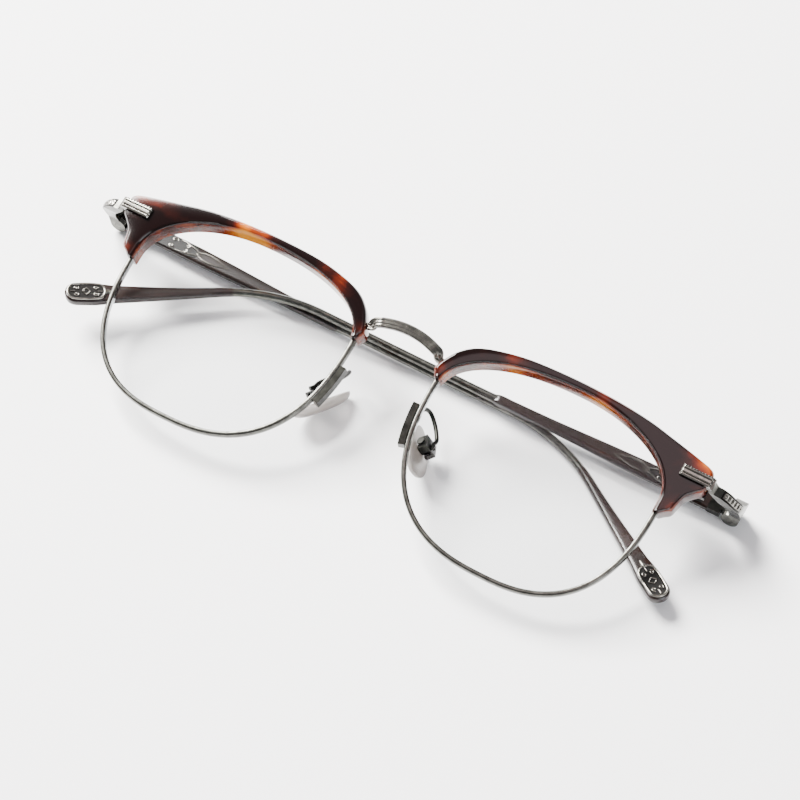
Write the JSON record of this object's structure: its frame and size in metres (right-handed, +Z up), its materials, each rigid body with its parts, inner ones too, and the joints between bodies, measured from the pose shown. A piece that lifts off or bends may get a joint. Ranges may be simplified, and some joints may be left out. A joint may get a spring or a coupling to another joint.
{
  "type": "eyeglasses",
  "caption": "Half rim (browline) eyeglasses: round-cornered lenses in thin metal rims under tortoise brow pieces, nose pads on wire arms, and hinged temples folded flat.",
  "frame": {"origin": "on the table, below the centre of the folded part's outline", "axes": "+X along the brow to the wearer's left, +Y across the lenses towards the brow, +Z up out of the lens fronts as the part lies face up"},
  "size_m": [0.1464, 0.0434, 0.0176],
  "materials": {
    "titanium": "satin grey titanium",
    "dark_titanium": "satin dark grey",
    "silver": "polished, milled relief",
    "steel_screws": "turned",
    "tortoise_acetate": "polished dark tortoise with amber patches",
    "clear_lens": "clear, coated",
    "brown_coating": "glossy dark brown lacquer with engraved ends",
    "brown_tip": "polished translucent dark brown",
    "pad_silicone": "translucent, satin",
    "nylon": "plain"
  },
  "bodies": {
    "front": {"bridge": "titanium", "eyewire_left": "titanium", "lens_left": "clear_lens", "brow_left": "tortoise_acetate", "endpiece_left": "titanium", "front_plate_left": "silver", "back_plate_left": "dark_titanium", "rim_barrel_left": "dark_titanium", "rim_screw_left": "steel_screws", "brow_clip_left": "dark_titanium", "brow_screw_left": "steel_screws", "pad_base_left": "dark_titanium", "pad_arm_left": "dark_titanium", "pad_box_left": "dark_titanium", "pad_screw_left": "steel_screws", "hinge_screw_left": "steel_screws", "hinge_washers_left": "nylon", "eyewire_right": "titanium", "lens_right": "clear_lens", "brow_right": "tortoise_acetate", "endpiece_right": "titanium", "front_plate_right": "silver", "back_plate_right": "dark_titanium", "rim_barrel_right": "dark_titanium", "rim_screw_right": "steel_screws", "brow_clip_right": "dark_titanium", "brow_screw_right": "steel_screws", "pad_base_right": "dark_titanium", "pad_arm_right": "dark_titanium", "pad_box_right": "dark_titanium", "pad_screw_right": "steel_screws", "hinge_screw_right": "steel_screws", "hinge_washers_right": "nylon"},
    "left_temple": {"hinge_leaf_left": "dark_titanium", "temple_left": "brown_coating", "tip_sleeve_left": "brown_tip", "tip_emblem_left": "silver"},
    "right_temple": {"hinge_leaf_right": "dark_titanium", "temple_right": "brown_coating", "tip_sleeve_right": "brown_tip", "tip_emblem_right": "silver"},
    "left_pad": {"nose_pad_left": "pad_silicone", "pad_stud_left": "dark_titanium"},
    "right_pad": {"nose_pad_right": "pad_silicone", "pad_stud_right": "dark_titanium"}
  },
  "joints": [
    {"name": "left_temple_fold", "type": "hinge", "parent": "front", "child": "left_temple", "pos_m": [0.0709, 0.01778, 0.0023], "axis": [0, -1, 0], "range_deg": [0, 92]},
    {"name": "right_temple_fold", "type": "hinge", "parent": "front", "child": "right_temple", "pos_m": [-0.0709, 0.01778, 0.0023], "axis": [0, 1, 0], "range_deg": [0, 90.4]},
    {"name": "left_pad_rock", "type": "hinge", "parent": "front", "child": "left_pad", "pos_m": [0.01238, -0.00034, 0.00422], "axis": [-0.5772, -0.0188, 0.8164], "range_deg": [-6, 6]},
    {"name": "right_pad_rock", "type": "hinge", "parent": "front", "child": "right_pad", "pos_m": [-0.01238, -0.00034, 0.00422], "axis": [0.5772, -0.0188, 0.8164], "range_deg": [-6, 6]}
  ]
}
